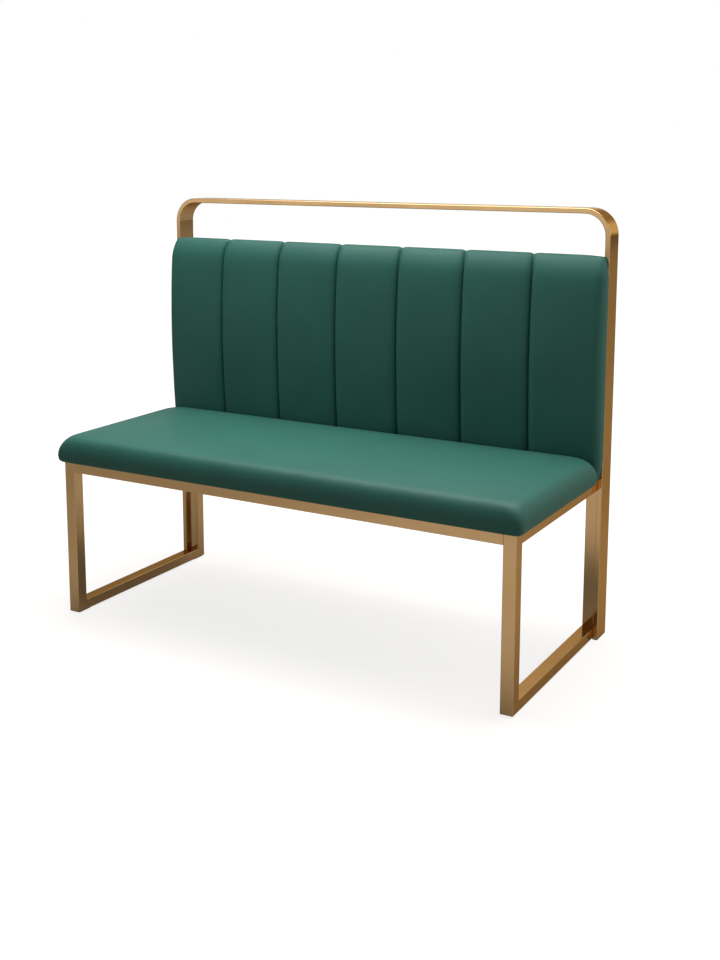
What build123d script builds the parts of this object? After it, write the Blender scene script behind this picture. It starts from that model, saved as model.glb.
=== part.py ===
from build123d import *
import math
import os

os.makedirs("parts", exist_ok=True)

# Restaurant booth bench for two people. A welded base of gilt steel tube
# carries an upholstered seat pad. A hoop of bent flat tube stands on the
# floor outside the rear legs and carries a back pad sewn in seven channels.
# X runs along the bench, +Y goes to its back and +Z up. The origin lies on
# the floor, in the middle of the bench's box.

# Base frame
bench_length = 1200            # over the outer faces of the two side frames
base_depth = 525               # front of the front legs to back of the rear legs
seat_frame_height = 388        # floor to the top of the rails
leg_width = 30                 # leg, rail and runner tube, across the bench
leg_depth = 30                 # leg tube, front to back
rail_height = 25               # rails and runners, top to bottom
rail_depth = 30                # front and rear rail, front to back
tube_wall = 1.2
tube_corner = 1.6              # rounding of the tube's long edges
bearer_width = 30
bearer_spacing = 400           # between the middles of the two seat bearers

# Seat tabs, welded inside the side rails
tab_reach = 30
tab_length = 40
tab_thickness = 3
tab_inset = 110                # front of the rail, and pad's rear, to the tabs' middles

# Back hoop of bent flat tube
hoop_depth = 60                # front to back
hoop_thickness = 12            # seen from the front
hoop_height = 1018
hoop_bend_radius = 62          # outside of the top corners
hoop_lap = 42                  # front of the hoop to the back of the rear legs
crossbar_height = 30
crossbar_depth = 20
lower_crossbar_rise = 64       # bottom of the back pad to the lower bar's middle
upper_crossbar_drop = 65       # top of the back pad to the upper bar's middle

# Weld beads
bead_leg = 3
bead_bulge_share = 0.56        # how far out its crest lies, of its leg
bead_length = 28
leg_bead_count = 4             # along each upright, where it lies on a rear leg
leg_bead_inset = 43            # rail top, and runner's underside, to the end beads' middles

# Glides and hoop end plugs, the only pieces on the floor
glide_height = 2
glide_width = 24
glide_length = 40
glide_inset = 25               # runner's end to the glide's middle
plug_depth = 22
push_fit_gap = 0.1

# Seat pad
seat_overhang = 11             # past the rails, along its bottom edge
seat_side_swell = 5            # further out, at the fullest part of the side
seat_tuck = 5                  # how far its rear reaches behind the back pad's seams
seat_swell_height = 25         # rail top to the fullest part of the side
seat_shoulder_height = 61      # rail top to the end of the edge's rounding
seat_edge_rounding = 26        # how far in the rounding reaches
seat_crown = 5                 # rise of the top above the shoulder
seat_crown_run = 125           # how far in the crown goes on rising
seat_plan_corner = 28          # radius of its corners, seen from above
seat_board_thickness = 15
seat_board_margin = 7.5        # fullest part of the pad to the board's edge
seat_hem_width = 40
dust_cover_thickness = 0.7

# Back pad
back_pad_lift = 3              # top of the rails to the pad
hoop_headroom = 108            # top of the pad to the top of the hoop
back_thickness = 38            # at a seam, where the pad is fullest
channel_count = 7
channel_swell = 9              # crest of a channel above its seams
channel_shoulder_run = 16      # seam to the shoulder, where the channel flattens
channel_shoulder_share = 0.69  # height of the shoulder, of the swell
back_corner_run = 20           # rounding of the pad's front side edges
back_side_draw = 7             # how far the sides draw in at top and bottom
back_board_thickness = 12
back_board_margin = 9          # side of the pad to the board's edge
back_board_drop = 20           # top of the pad to the top of the board
back_hem_width = 30

# Upholstery
leather_thickness = 1.0
cloth_gap = 0.3                # between the cover and what it wraps

# Coach screws, turned into pilot holes in the boards
screw_diameter = 6
screw_head_width = 10          # across the flats of the hexagon
screw_head_height = 4
screw_hole_gap = 0.3           # all round a screw in steel, leather or cloth
pilot_gap = 0.1                # all round a screw in a board
screw_tip_gap = 1
tab_screw_length = 16
crossbar_screw_length = 30
crossbar_screw_spacing = 800   # between the two screws of a crossbar

# Room that every cutting tool runs past what it cuts
overrun = 5

# Places that follow from the sizes
frame_half = bench_length / 2
overall_depth = seat_overhang + seat_side_swell + base_depth - hoop_lap + hoop_depth
frame_front = seat_overhang + seat_side_swell - overall_depth / 2
frame_rear = frame_front + base_depth
rail_bottom = seat_frame_height - rail_height
runner_top = glide_height + rail_height
hoop_front = frame_rear - hoop_lap
hoop_middle = hoop_front + hoop_depth / 2
hoop_half = frame_half + hoop_thickness
crossbar_rear = hoop_front + crossbar_depth
screw_hole = screw_diameter + 2 * screw_hole_gap
pilot_hole = screw_diameter + 2 * pilot_gap

# Seat pad places
seat_front = frame_front - seat_overhang - seat_side_swell
seat_rear = hoop_front - back_thickness + seat_tuck
seat_pad_depth = seat_rear - seat_front
seat_middle = seat_front + seat_pad_depth / 2
seat_pad_length = bench_length + 2 * (seat_overhang + seat_side_swell)
seat_board_bottom = seat_frame_height + leather_thickness
seat_board_top = seat_board_bottom + seat_board_thickness
tab_screw_x = frame_half - leg_width - tab_reach / 2
tab_ys = (frame_front + tab_inset, seat_rear - tab_inset)

# Back pad places
back_pad_width = 2 * hoop_half
back_pad_bottom = seat_frame_height + back_pad_lift
back_pad_top = hoop_height - hoop_headroom
back_pad_height = back_pad_top - back_pad_bottom
back_board_rear = hoop_front - leather_thickness
back_board_front = back_board_rear - back_board_thickness
back_board_top = back_pad_top - back_board_drop
back_board_bottom = back_pad_bottom + leather_thickness + cloth_gap
crossbar_levels = (back_pad_bottom + lower_crossbar_rise, back_pad_top - upper_crossbar_drop)
crossbar_screw_xs = (-crossbar_screw_spacing / 2, crossbar_screw_spacing / 2)

# The seat's side profile: how far in from the fullest part, and how high.
# It is upright at the board, rounds over in a quarter ellipse and then crowns.
seat_lower_shares = (0, 0.45, 1)
seat_rounding_angles = (22.5, 45, 67.5)
seat_crown_shares = (0.15, 0.5, 1)

# The back's side profile as (height share of the pad, thickness at a seam).
# It is fullest behind the small of the back and rolls over at the top.
back_profile_shares = (
    (0.000, 0.62), (0.250, 0.88), (0.520, 1.00), (0.700, 0.93),
    (0.860, 0.77), (0.945, 0.58), (0.985, 0.34), (1.000, 0.13),
)
back_end_run = 30              # top and bottom stretch where the sides draw in


# Tube work
def tube_section(width, depth):
    outside = RectangleRounded(width, depth, tube_corner)
    return outside - Rectangle(width - 2 * tube_wall, depth - 2 * tube_wall)


def tube(width, depth, length, origin, x_dir, run_dir):
    """A rectangular tube with rounded long edges, run from an origin."""
    plane = Plane(origin=origin, x_dir=x_dir, z_dir=run_dir)
    return extrude(plane * tube_section(width, depth), length)


def mitred(member, outline):
    """The member cut to a four-sided outline in the side frame, its two ends mitred."""
    face = make_face(Polyline(*outline, close=True))
    reach = bench_length / 2 + overrun
    return member & extrude(Plane.YZ * face, reach, both=True)


def hole(point, direction, diameter, depth):
    """A round cutter that starts at a point and runs in a direction."""
    plane = Plane(origin=point, z_dir=direction)
    return extrude(plane * Circle(diameter / 2), depth)


def side_frame_corners():
    """Outer and inner corners of a side frame, seen along X."""
    outer = (
        (frame_front, glide_height),
        (frame_rear, glide_height),
        (frame_rear, seat_frame_height),
        (frame_front, seat_frame_height),
    )
    inner = (
        (frame_front + leg_depth, runner_top),
        (frame_rear - leg_depth, runner_top),
        (frame_rear - leg_depth, rail_bottom),
        (frame_front + leg_depth, rail_bottom),
    )
    return outer, inner


def side_member(outer, inner, start, end):
    """The mitre outline between two neighbouring corners of the side frame."""
    return (outer[start], outer[end], inner[end], inner[start])


def leg(x, is_front):
    """One upright of a side frame, mitred into the runner and the side rail."""
    outer, inner = side_frame_corners()
    y = frame_front + leg_depth / 2 if is_front else frame_rear - leg_depth / 2
    length = seat_frame_height - glide_height
    blank = tube(leg_width, leg_depth, length, (x, y, glide_height), (1, 0, 0), (0, 0, 1))
    ends = (3, 0) if is_front else (1, 2)
    return mitred(blank, side_member(outer, inner, *ends))


def runner(x):
    """The floor member of a side frame."""
    outer, inner = side_frame_corners()
    origin = (x, frame_front, glide_height + rail_height / 2)
    blank = tube(leg_width, rail_height, base_depth, origin, (1, 0, 0), (0, 1, 0))
    return mitred(blank, side_member(outer, inner, 0, 1))


def side_rail(x):
    """The top member of a side frame."""
    outer, inner = side_frame_corners()
    origin = (x, frame_front, seat_frame_height - rail_height / 2)
    blank = tube(leg_width, rail_height, base_depth, origin, (1, 0, 0), (0, 1, 0))
    return mitred(blank, side_member(outer, inner, 2, 3))


def long_rail(y):
    """The front or rear rail, butted between the side frames."""
    length = bench_length - 2 * leg_width
    origin = (-length / 2, y, seat_frame_height - rail_height / 2)
    return tube(rail_depth, rail_height, length, origin, (0, 1, 0), (1, 0, 0))


def bearer(x):
    """A cross tube under the seat, from the front rail to the rear rail."""
    length = base_depth - 2 * rail_depth
    origin = (x, frame_front + rail_depth, seat_frame_height - rail_height / 2)
    return tube(bearer_width, rail_height, length, origin, (1, 0, 0), (0, 1, 0))


def seat_tab(side, y):
    """A drilled plate welded to the inside of a side rail, flush with its top."""
    plate = Rectangle(tab_reach, tab_length) - Circle(screw_hole / 2)
    place = Pos(side * tab_screw_x, y, seat_frame_height - tab_thickness)
    return extrude(place * plate, tab_thickness)


def weld_bead(x, y, z, x_sign, y_sign):
    """A convex bead in the corner between two faces, upright, z at its middle."""
    corner = (x, y)
    along = (x + x_sign * bead_leg, y)
    across = (x, y + y_sign * bead_leg)
    bulge = bead_bulge_share * bead_leg
    crest = (x + x_sign * bulge, y + y_sign * bulge)
    outline = Line(corner, along) + ThreePointArc(along, crest, across) + Line(across, corner)
    return extrude(Pos(0, 0, z - bead_length / 2) * make_face(outline), bead_length)


def frame_welds():
    """Beads that hold the hoop to the rear legs and the crossbars to the hoop."""
    beads = []
    first = glide_height + leg_bead_inset
    step = (seat_frame_height - leg_bead_inset - first) / (leg_bead_count - 1)
    for side in (-1, 1):
        for level in [first + step * index for index in range(leg_bead_count)]:
            beads.append(weld_bead(side * frame_half, frame_rear, level, -side, 1))
        for level in crossbar_levels:
            beads.append(weld_bead(side * frame_half, crossbar_rear, level, -side, 1))
    return beads


# Back hoop
def back_hoop():
    """A flat tube bent to an upside-down U, cut square at the floor."""
    side = frame_half + hoop_thickness / 2
    top = hoop_height - hoop_thickness / 2
    bend = hoop_bend_radius - hoop_thickness / 2
    corners = ((-side, glide_height), (-side, top), (side, top), (side, glide_height))
    line = Pos(0, hoop_middle, 0) * (Plane.XZ * FilletPolyline(*corners, radius=bend))
    section = Pos(-side, hoop_middle, glide_height) * tube_section(hoop_thickness, hoop_depth)
    return sweep(section, path=line)


def crossbar(level):
    """A tube between the hoop's uprights that the back pad is screwed to."""
    origin = (-frame_half, hoop_front + crossbar_depth / 2, level)
    member = tube(crossbar_depth, crossbar_height, bench_length, origin, (0, 1, 0), (1, 0, 0))
    for x in crossbar_screw_xs:
        start = (x, hoop_front - overrun, level)
        member -= hole(start, (0, 1, 0), screw_hole, crossbar_depth + 2 * overrun)
    return member


# Floor pieces
def glide(x, y):
    """A nylon pad stuck under a runner."""
    return extrude(Pos(x, y, 0) * Rectangle(glide_width, glide_length), glide_height)


def hoop_plug(side):
    """A moulded plug in the open end of an upright, with a flange on the floor."""
    x = side * (frame_half + hoop_thickness / 2)
    slack = 2 * (tube_wall + push_fit_gap)
    shank = Rectangle(hoop_thickness - slack, hoop_depth - slack)
    room = 2 * tube_wall
    hollow = Rectangle(hoop_thickness - slack - room, hoop_depth - slack - room)
    flange = RectangleRounded(hoop_thickness, hoop_depth, tube_corner)
    plug = extrude(flange, glide_height) + extrude(Pos(0, 0, glide_height) * (shank - hollow), plug_depth)
    return Pos(x, hoop_middle, 0) * plug


# Screws
def coach_screw(length):
    """A hexagon head screw with its head below the origin and its shank along +Z."""
    head = extrude(RegularPolygon(screw_head_width / 2, 6, major_radius=False), -screw_head_height)
    return head + extrude(Circle(screw_diameter / 2), length)


def seat_screw_places():
    """Seat fixings as (x, y)."""
    return [(side * tab_screw_x, y) for side in (-1, 1) for y in tab_ys]


def crossbar_screw_places():
    """Back fixings as (x, z)."""
    return [(x, level) for level in crossbar_levels for x in crossbar_screw_xs]


# Pads
def offset_profile(points, distance):
    """Move a side profile inwards, square to itself. Its ends keep to level planes."""
    moved = []
    last = len(points) - 1
    for index, (out, up) in enumerate(points):
        before = points[max(index - 1, 0)]
        after = points[min(index + 1, last)]
        run_out = after[0] - before[0]
        run_up = after[1] - before[1]
        run = math.hypot(run_out, run_up)
        moved.append((out - distance * run_up / run, up + distance * run_out / run))
    first_out = moved[0][0]
    moved[0] = (first_out, points[0][1] + distance)
    last_out = moved[last][0]
    moved[last] = (last_out, points[last][1] - distance)
    return moved


def seat_profile():
    """The seat's side as (out, up): out is negative, inwards from the fullest part."""
    points = []
    for share in seat_lower_shares:
        points.append((-seat_side_swell * (1 - share) ** 2, seat_swell_height * share))
    rise = seat_shoulder_height - seat_swell_height
    for angle in seat_rounding_angles:
        turn = math.radians(angle)
        inward = seat_edge_rounding * (1 - math.cos(turn))
        points.append((-inward, seat_swell_height + rise * math.sin(turn)))
    for share in seat_crown_shares:
        inward = seat_edge_rounding + (seat_crown_run - seat_edge_rounding) * share
        up = seat_shoulder_height + seat_crown * (1 - (1 - share) ** 2)
        points.append((-inward, up))
    return points


def seat_solid(depth_in):
    """The seat pad's form, all its faces moved in by a depth."""
    sections = []
    for out, up in offset_profile(seat_profile(), depth_in):
        length = seat_pad_length + 2 * out
        depth = seat_pad_depth + 2 * out
        place = Pos(0, seat_middle, seat_frame_height + up)
        sections.append(place * RectangleRounded(length, depth, seat_plan_corner))
    return loft(sections, ruled=True)


def seat_plate(margin, bottom, thickness):
    """A flat plate under the pad, its edge a margin in from the fullest part."""
    length = seat_pad_length - 2 * margin
    depth = seat_pad_depth - 2 * margin
    outline = RectangleRounded(length, depth, seat_plan_corner)
    return extrude(Pos(0, seat_middle, bottom) * outline, thickness)


def seat_board():
    """The plywood seat board, with pilot holes for its screws."""
    board = seat_plate(seat_board_margin, seat_board_bottom, seat_board_thickness)
    engaged = tab_screw_length - tab_thickness - leather_thickness
    for x, y in seat_screw_places():
        start = (x, y, seat_board_bottom - overrun)
        board -= hole(start, (0, 0, 1), pilot_hole, overrun + engaged + screw_tip_gap)
    return board


def seat_foam():
    """The seat's foam slab, over the board and down around its edge."""
    foam = seat_solid(leather_thickness + cloth_gap)
    reach = seat_board_thickness + leather_thickness + overrun
    return foam - seat_plate(seat_board_margin - cloth_gap, seat_board_top - reach, reach)


def seat_cover():
    """The seat's leather cover, turned in under the board as a hem."""
    cover = seat_solid(0) - seat_solid(leather_thickness)
    opening = seat_side_swell + seat_hem_width
    return cover - seat_plate(opening, seat_frame_height - overrun, overrun + 2 * leather_thickness)


def seat_dust_cover():
    """The black cloth that closes the underside inside the hem."""
    margin = seat_side_swell + seat_hem_width + cloth_gap
    bottom = seat_board_bottom - dust_cover_thickness
    cloth = seat_plate(margin, bottom, dust_cover_thickness)
    for x, y in seat_screw_places():
        cloth -= hole((x, y, bottom - overrun), (0, 0, 1), screw_hole, 2 * overrun)
    return cloth


def back_profile():
    """The back's side as (thickness at a seam, height from the pad's bottom)."""
    return [(back_thickness * thick, back_pad_height * up) for up, thick in back_profile_shares]


def seam_arc_middle(seam, shoulder, slope):
    """Halfway along the arc from a seam to a shoulder, where it meets a given slope."""
    run = shoulder[0] - seam[0]
    rise = seam[1] - shoulder[1]
    chord = math.hypot(run, rise)
    lean = math.atan2(rise, abs(run))
    bow = chord / 2 * math.tan((lean - slope) / 2)
    x = (seam[0] + shoulder[0]) / 2 - bow * rise / chord * math.copysign(1, run)
    y = (seam[1] + shoulder[1]) / 2 - bow * abs(run) / chord
    return (x, y)


def back_section(thickness, height, depth_in):
    """One level outline of the back pad: flat rear, drawn-in sides, seven channels."""
    level = back_pad_bottom + height
    end_gap = min(height, back_pad_height - height)
    draw = back_side_draw * max(0, 1 - end_gap / back_end_run) ** 2
    half = back_pad_width / 2 - draw - depth_in
    rear = hoop_front - depth_in
    front = hoop_front - thickness
    side = (rear + front) / 2
    corner = min(back_corner_run, thickness)
    swell = channel_swell * min(1, thickness / back_thickness)
    rise = swell * channel_shoulder_share
    shoulder = front - rise
    pitch = back_pad_width / channel_count
    seams = [pitch * (index - channel_count / 2) for index in range(1, channel_count)]
    lefts = [corner - half] + [seam + channel_shoulder_run for seam in seams]
    rights = [seam - channel_shoulder_run for seam in seams] + [half - corner]

    def arc(start, middle, end):
        return ThreePointArc(*[(x, y, level) for x, y in (start, middle, end)])

    diagonal = math.sin(math.pi / 4)
    turn_x = half - corner * (1 - diagonal)
    turn_y = side + (shoulder - side) * diagonal
    edges = [Line((half, rear, level), (-half, rear, level))]
    edges.append(Line((-half, rear, level), (-half, side, level)))
    edges.append(arc((-half, side), (-turn_x, turn_y), (lefts[0], shoulder)))
    for index, (left, right) in enumerate(zip(lefts, rights)):
        edges.append(arc((left, shoulder), ((left + right) / 2, front - swell), (right, shoulder)))
        if index < len(seams):
            slope = 2 * math.atan(2 * (swell - rise) / (right - left))
            seam = (seams[index], front)
            before = (right, shoulder)
            after = (lefts[index + 1], shoulder)
            edges.append(arc(before, seam_arc_middle(seam, before, slope), seam))
            edges.append(arc(seam, seam_arc_middle(seam, after, slope), after))
    edges.append(arc((rights[-1], shoulder), (turn_x, turn_y), (half, side)))
    edges.append(Line((half, side, level), (half, rear, level)))
    return Face(Wire(edges))


def back_solid(depth_in):
    """The back pad's form, all its faces moved in by a depth."""
    profile = offset_profile(back_profile(), depth_in)
    sections = [back_section(thickness, height, depth_in) for thickness, height in profile]
    return loft(sections, ruled=True)


def back_plate(margin, bottom, top, front, thickness):
    """A flat upright plate behind the pad."""
    width = back_pad_width - 2 * margin
    origin = (0, front, (bottom + top) / 2)
    plane = Plane(origin=origin, x_dir=(1, 0, 0), z_dir=(0, 1, 0))
    return extrude(plane * Rectangle(width, top - bottom), thickness)


def back_board():
    """The plywood back board, with pilot holes for its screws."""
    board = back_plate(
        back_board_margin, back_board_bottom, back_board_top, back_board_front, back_board_thickness
    )
    engaged = crossbar_screw_length - crossbar_depth - leather_thickness
    for x, z in crossbar_screw_places():
        start = (x, back_board_rear + overrun, z)
        board -= hole(start, (0, -1, 0), pilot_hole, overrun + engaged + screw_tip_gap)
    return board


def back_foam():
    """The back's foam, in front of the board and round its top and side edges."""
    foam = back_solid(leather_thickness + cloth_gap)
    margin = back_board_margin - cloth_gap
    top = back_board_top + cloth_gap
    reach = back_board_thickness + overrun
    return foam - back_plate(margin, back_pad_bottom - overrun, top, back_board_front, reach)


def back_cover():
    """The channelled leather cover, turned in behind the board as a hem."""
    cover = back_solid(0) - back_solid(leather_thickness)
    bottom = back_pad_bottom + back_hem_width
    top = back_pad_top - back_hem_width
    reach = overrun + 2 * leather_thickness
    opening = back_plate(back_hem_width, bottom, top, hoop_front - 2 * leather_thickness, reach)
    return cover - opening


def back_lining():
    """The panel of leather that closes the back inside the hem."""
    margin = back_hem_width + cloth_gap
    lining = back_plate(
        margin, back_pad_bottom + margin, back_pad_top - margin, back_board_rear, leather_thickness
    )
    for x, z in crossbar_screw_places():
        start = (x, back_board_rear - overrun, z)
        lining -= hole(start, (0, 1, 0), screw_hole, leather_thickness + 2 * overrun)
    return lining


# Groups of screws
def seat_screws():
    bottom = seat_frame_height - tab_thickness
    return [Pos(x, y, bottom) * coach_screw(tab_screw_length) for x, y in seat_screw_places()]


def back_screws():
    screw = Rot(90, 0, 0) * coach_screw(crossbar_screw_length)
    return [Pos(x, crossbar_rear, z) * screw for x, z in crossbar_screw_places()]


def export_part(name, shape):
    """Write one named piece, or a group of like pieces, to its own file."""
    solids = shape if isinstance(shape, list) else [shape]
    body = Compound(children=[solid for piece in solids for solid in piece.solids()])
    body.label = name
    export_step(body, f"parts/{name}.step")


# Assembly
side_x = frame_half - leg_width / 2
for name, side in (("left", -1), ("right", 1)):
    export_part(f"{name}_front_leg", leg(side * side_x, True))
    export_part(f"{name}_rear_leg", leg(side * side_x, False))
    export_part(f"{name}_runner", runner(side * side_x))
    export_part(f"{name}_side_rail", side_rail(side * side_x))
    export_part(f"{name}_seat_bearer", bearer(side * bearer_spacing / 2))
    export_part(f"{name}_hoop_plug", hoop_plug(side))
export_part("front_rail", long_rail(frame_front + rail_depth / 2))
export_part("rear_rail", long_rail(frame_rear - rail_depth / 2))
export_part("seat_tabs", [seat_tab(side, y) for side in (-1, 1) for y in tab_ys])
export_part("back_hoop", back_hoop())
export_part("lower_crossbar", crossbar(crossbar_levels[0]))
export_part("upper_crossbar", crossbar(crossbar_levels[1]))
export_part("frame_welds", frame_welds())
glide_ys = (frame_front + glide_inset, frame_rear - glide_inset)
export_part("floor_glides", [glide(side * side_x, y) for side in (-1, 1) for y in glide_ys])
export_part("seat_board", seat_board())
export_part("seat_foam", seat_foam())
export_part("seat_cover", seat_cover())
export_part("seat_dust_cover", seat_dust_cover())
export_part("seat_screws", seat_screws())
export_part("back_board", back_board())
export_part("back_foam", back_foam())
export_part("back_cover", back_cover())
export_part("back_lining", back_lining())
export_part("back_screws", back_screws())
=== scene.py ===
import math

import bmesh
import bpy
from mathutils import Matrix, Vector, noise


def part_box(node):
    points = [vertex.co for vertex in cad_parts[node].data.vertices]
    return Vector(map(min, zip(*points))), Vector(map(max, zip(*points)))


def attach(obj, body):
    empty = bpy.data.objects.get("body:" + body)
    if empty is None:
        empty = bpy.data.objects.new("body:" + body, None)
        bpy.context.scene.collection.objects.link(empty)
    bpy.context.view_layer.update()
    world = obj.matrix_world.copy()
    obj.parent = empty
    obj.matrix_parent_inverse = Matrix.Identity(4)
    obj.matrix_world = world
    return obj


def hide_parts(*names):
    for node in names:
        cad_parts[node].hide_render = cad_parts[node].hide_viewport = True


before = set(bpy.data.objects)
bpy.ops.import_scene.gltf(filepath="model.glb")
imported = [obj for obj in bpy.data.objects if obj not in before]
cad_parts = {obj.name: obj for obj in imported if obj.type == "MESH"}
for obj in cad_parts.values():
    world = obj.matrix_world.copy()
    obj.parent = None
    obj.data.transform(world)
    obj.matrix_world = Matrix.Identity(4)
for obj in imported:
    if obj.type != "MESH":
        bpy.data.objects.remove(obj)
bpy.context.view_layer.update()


# The photographer's camera. It stands off the bench's right end, 1.16 m up and
# about 3 m away, and looks a little down at it. Places here are in metres.
camera_pitch = 0.161           # below the horizon, in radians
camera_turn = 0.526            # from straight ahead, towards the left
camera_data = bpy.data.cameras.new("camera")
camera_data.sensor_width = 36
camera_data.lens = 47.24
camera_data.shift_x = 0.0141
camera_data.shift_y = -0.1346
camera_data.clip_end = 100
camera = bpy.data.objects.new("camera", camera_data)
camera.location = (1.5239, -2.5345, 1.1570)
camera.rotation_euler = (math.pi / 2 - camera_pitch, 0, camera_turn)
bpy.context.scene.collection.objects.link(camera)
bpy.context.scene.camera = camera
bpy.context.scene.view_settings.view_transform = "Standard"


# The studio: a wide pale floor, a large soft box overhead and a weak one on
# the right. The camera sees the floor and the room as white. The metal sees
# the room's own light: a bright wall in front, and a dimmer room behind. It
# sees the floor with a painted reflection on it: a faint glow that only
# reflections see, stronger in front and far off, and weaker to the left.
def linear(code):
    """An sRGB hex colour as linear red, green, blue and alpha."""
    values = [int(code[index:index + 2], 16) / 255 for index in (1, 3, 5)]
    return [v / 12.92 if v <= 0.04045 else ((v + 0.055) / 1.055) ** 2.4 for v in values] + [1]


def add_node(tree, kind, settings=None, links=None):
    """Adds a node, sets its inputs or properties, and wires other nodes' outputs to it."""
    node = tree.nodes.new(kind)
    for key, value in (settings or {}).items():
        if isinstance(key, int) or key in node.inputs:
            node.inputs[key].default_value = value
        else:
            setattr(node, key, value)
    for key, source in (links or {}).items():
        tree.links.new(source, node.inputs[key])
    return node


def blank_material(name):
    """A material whose node tree holds nothing but its output."""
    material = bpy.data.materials.new(name)
    material.use_nodes = True
    material.node_tree.nodes.clear()
    return material, material.node_tree


floor_reach = 12
floor_mesh = bpy.data.meshes.new("floor")
bm = bmesh.new()
bmesh.ops.create_grid(bm, x_segments=1, y_segments=1, size=floor_reach)
bm.to_mesh(floor_mesh)
bm.free()
floor = bpy.data.objects.new("floor", floor_mesh)
bpy.context.scene.collection.objects.link(floor)

floor_material, tree = blank_material("pale_studio_floor")
place = add_node(tree, "ShaderNodeTexCoord")
distance = add_node(tree, "ShaderNodeVectorMath", {"operation": "LENGTH"}, {0: place.outputs["Object"]})
white = add_node(tree, "ShaderNodeMapRange", {"From Min": 0.8, "From Max": 2, "To Min": 0.8, "To Max": 1},
                 {"Value": distance.outputs["Value"]})
paint = add_node(tree, "ShaderNodeBsdfDiffuse", {"Color": linear("#95938f")})
glow = add_node(tree, "ShaderNodeEmission", {"Color": linear("#ffffff")}, {"Strength": white.outputs[0]})
both = add_node(tree, "ShaderNodeAddShader", links={0: paint.outputs[0], 1: glow.outputs[0]})
parts = add_node(tree, "ShaderNodeSeparateXYZ", links={0: place.outputs["Object"]})
# Painted reflection: a glow on the floor that only reflections see, stronger in front of the bench and
# far off, and weaker to the left, so that the gilt mirrors it.
in_front = add_node(tree, "ShaderNodeMapRange",
                    {"From Min": -0.2, "From Max": -1.1, "To Min": 0.09, "To Max": 0.27},
                    {"Value": parts.outputs["Y"]})
far_off = add_node(tree, "ShaderNodeMapRange",
                   {"From Min": 1.8, "From Max": 2.8, "To Min": 0, "To Max": 0.13},
                   {"Value": distance.outputs["Value"]})
reflection_glow_base = add_node(tree, "ShaderNodeMath", {"operation": "ADD"},
                      {0: in_front.outputs[0], 1: far_off.outputs[0]})
on_left = add_node(tree, "ShaderNodeMapRange",
                   {"From Min": -0.9, "From Max": 0, "To Min": 0.4, "To Max": 1},
                   {"Value": parts.outputs["X"]})
reflection_glow_strength = add_node(tree, "ShaderNodeMath", {"operation": "MULTIPLY"},
               {0: reflection_glow_base.outputs[0], 1: on_left.outputs[0]})
painted_reflection_glow = add_node(tree, "ShaderNodeEmission", {"Color": linear("#ffffff")},
                    {"Strength": reflection_glow_strength.outputs[0]})
floor_and_painted_reflection = add_node(tree, "ShaderNodeAddShader", links={0: paint.outputs[0], 1: painted_reflection_glow.outputs[0]})
path = add_node(tree, "ShaderNodeLightPath")
in_metal = add_node(tree, "ShaderNodeMixShader",
                    links={0: path.outputs["Is Glossy Ray"], 1: paint.outputs[0], 2: floor_and_painted_reflection.outputs[0]})
seen = add_node(tree, "ShaderNodeMixShader",
                links={0: path.outputs["Is Camera Ray"], 1: in_metal.outputs[0], 2: both.outputs[0]})
add_node(tree, "ShaderNodeOutputMaterial", links={"Surface": seen.outputs[0]})
floor_mesh.materials.append(floor_material)

world = bpy.data.worlds.new("studio_room")
world.use_nodes = True
bpy.context.scene.world = world
tree = world.node_tree
tree.nodes.clear()
direction = add_node(tree, "ShaderNodeTexCoord")
parts = add_node(tree, "ShaderNodeSeparateXYZ", links={0: direction.outputs["Generated"]})
wall_direction = (-0.55, -0.83, 0)
towards_wall = add_node(tree, "ShaderNodeVectorMath", {"operation": "DOT_PRODUCT", 1: wall_direction},
                        {0: direction.outputs["Generated"]})
across = add_node(tree, "ShaderNodeMapRange", {"From Min": 0.6, "From Max": 0.92},
                  {"Value": towards_wall.outputs["Value"]})
above = add_node(tree, "ShaderNodeMapRange",
                 {"From Min": 0.05, "From Max": 0.3, "To Min": 1, "To Max": 0},
                 {"Value": parts.outputs["Z"]})
wall = add_node(tree, "ShaderNodeMath", {"operation": "MULTIPLY"},
                {0: across.outputs[0], 1: above.outputs[0]})
facing = add_node(tree, "ShaderNodeMapRange", {"From Min": -0.5, "From Max": 0.3},
                  {"Value": towards_wall.outputs["Value"]})
upward = add_node(tree, "ShaderNodeMapRange", {"From Min": 0.3, "From Max": 0.42},
                  {"Value": parts.outputs["Z"]})
rear_top = add_node(tree, "ShaderNodeMix",
                    {"data_type": "RGBA", 6: linear("#8f857a"), 7: linear("#cdc6bb")},
                    {0: upward.outputs[0]})
low = add_node(tree, "ShaderNodeMapRange",
               {"From Min": 0.2, "From Max": 0.3, "To Min": 1, "To Max": 0},
               {"Value": parts.outputs["Z"]})
rear_wall = add_node(tree, "ShaderNodeMix", {"data_type": "RGBA", 7: linear("#dfe0d0")},
                     {0: low.outputs[0], 6: rear_top.outputs[2]})
lower = add_node(tree, "ShaderNodeMapRange", {"From Min": -0.02, "From Max": 0.02},
                 {"Value": parts.outputs["Z"]})
rear = add_node(tree, "ShaderNodeMix", {"data_type": "RGBA", 6: linear("#6b6354")},
                {0: lower.outputs[0], 7: rear_wall.outputs[2]})
dark = add_node(tree, "ShaderNodeMix", {"data_type": "RGBA", 7: linear("#5b5752")},
                {0: facing.outputs[0], 6: rear.outputs[2]})
room = add_node(tree, "ShaderNodeMix", {"data_type": "RGBA", 7: linear("#ededeb")},
                {0: wall.outputs[0], 6: dark.outputs[2]})
room_light = add_node(tree, "ShaderNodeBackground", {"Strength": 1}, {"Color": room.outputs[2]})
plain_white = add_node(tree, "ShaderNodeBackground", {"Color": linear("#ffffff"), "Strength": 1})
path = add_node(tree, "ShaderNodeLightPath")
seen = add_node(tree, "ShaderNodeMixShader",
                links={0: path.outputs["Is Camera Ray"], 1: room_light.outputs[0],
                       2: plain_white.outputs[0]})
add_node(tree, "ShaderNodeOutputWorld", links={"Surface": seen.outputs[0]})

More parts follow.
